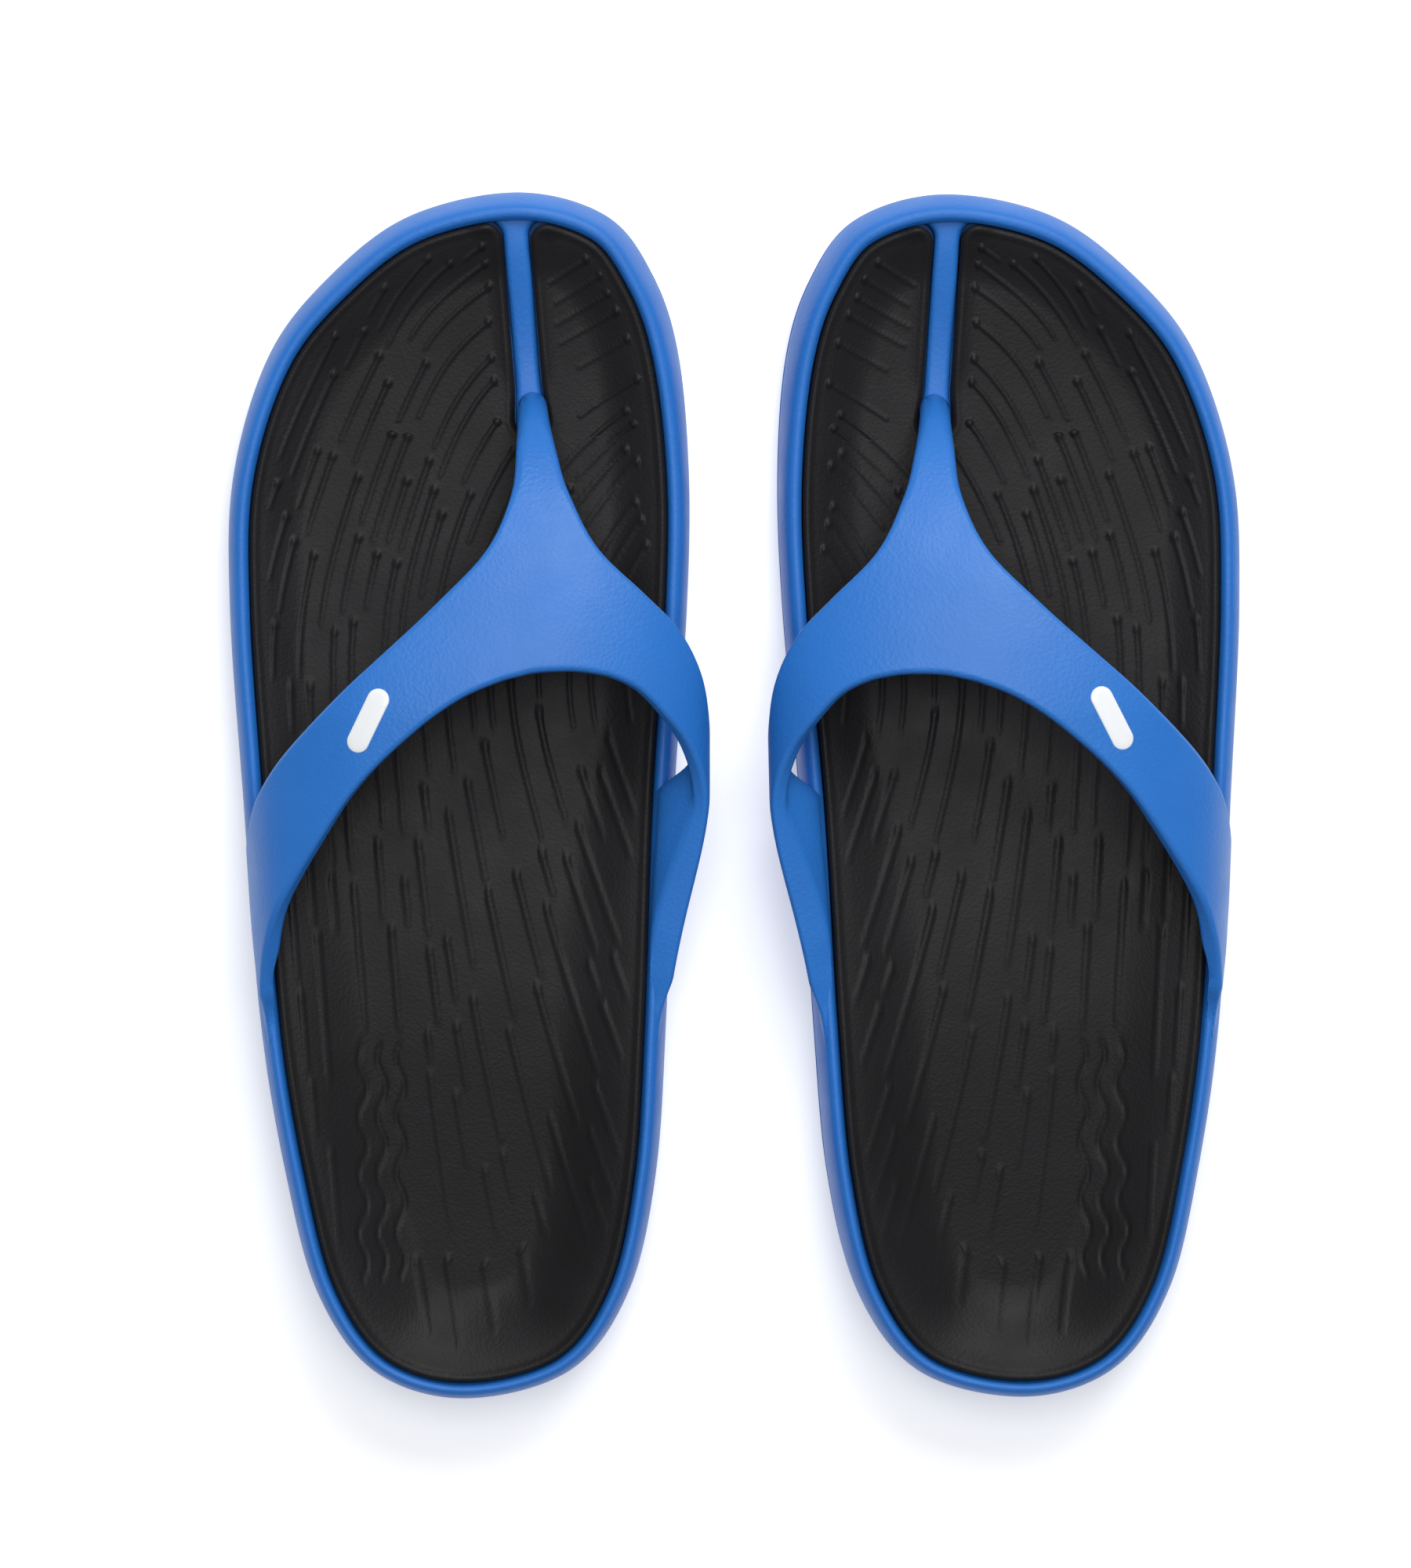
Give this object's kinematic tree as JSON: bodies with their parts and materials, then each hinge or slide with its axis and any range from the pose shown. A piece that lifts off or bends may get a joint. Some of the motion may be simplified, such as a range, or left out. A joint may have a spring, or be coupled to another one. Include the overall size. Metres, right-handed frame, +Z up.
{
  "type": "flip flop pair",
  "caption": "Pair of moulded foam flip flops with a rimmed sole shell, contoured ribbed footbed, toe bar and Y-shaped strap, each flexing at the ball of the foot.",
  "frame": {"origin": "on the floor, midway between the two sandals, halfway between the heel and toe tips", "axes": "+X from the left sandal to the right one, +Y from heel to toe, +Z up from the floor"},
  "size_m": [0.2401, 0.286, 0.0526],
  "materials": {
    "outsole": "moulded blue rubbery foam, matte",
    "shell": "moulded blue EVA foam, satin skin with fine pebble grain",
    "footbed": "moulded black EVA foam, satin, with raised flow-line ribs",
    "strap": "soft blue moulded strap, satin, fine leathery grain",
    "badge": "white inlay, plain rounded bar"
  },
  "bodies": {
    "left_heel": {"left_outsole_heel": "outsole", "left_shell_heel": "shell", "left_footbed_heel": "footbed", "left_strap": "strap", "left_badge": "badge"},
    "left_toe": {"left_outsole_toe": "outsole", "left_shell_toe": "shell", "left_footbed_toe": "footbed"},
    "right_heel": {"right_outsole_heel": "outsole", "right_shell_heel": "shell", "right_footbed_heel": "footbed", "right_strap": "strap", "right_badge": "badge"},
    "right_toe": {"right_outsole_toe": "outsole", "right_shell_toe": "shell", "right_footbed_toe": "footbed"}
  },
  "joints": [
    {"name": "left_flex", "type": "hinge", "parent": "left_heel", "child": "left_toe", "pos_m": [-0.066, 0.047, 0.0205], "axis": [0.9659, 0.2588, 0], "range_deg": [0, 35], "stiffness_Nm_per_rad": 2, "deforming": ["left_strap"]},
    {"name": "right_flex", "type": "hinge", "parent": "right_heel", "child": "right_toe", "pos_m": [0.06485, 0.04699, 0.0205], "axis": [0.972, -0.2351, 0], "range_deg": [0, 35], "stiffness_Nm_per_rad": 2, "deforming": ["right_strap"]},
    {"name": "pair_slide", "type": "slide", "parent": "left_heel", "child": "right_heel", "axis": [1, 0, 0], "range_m": [0, 0.15]}
  ]
}
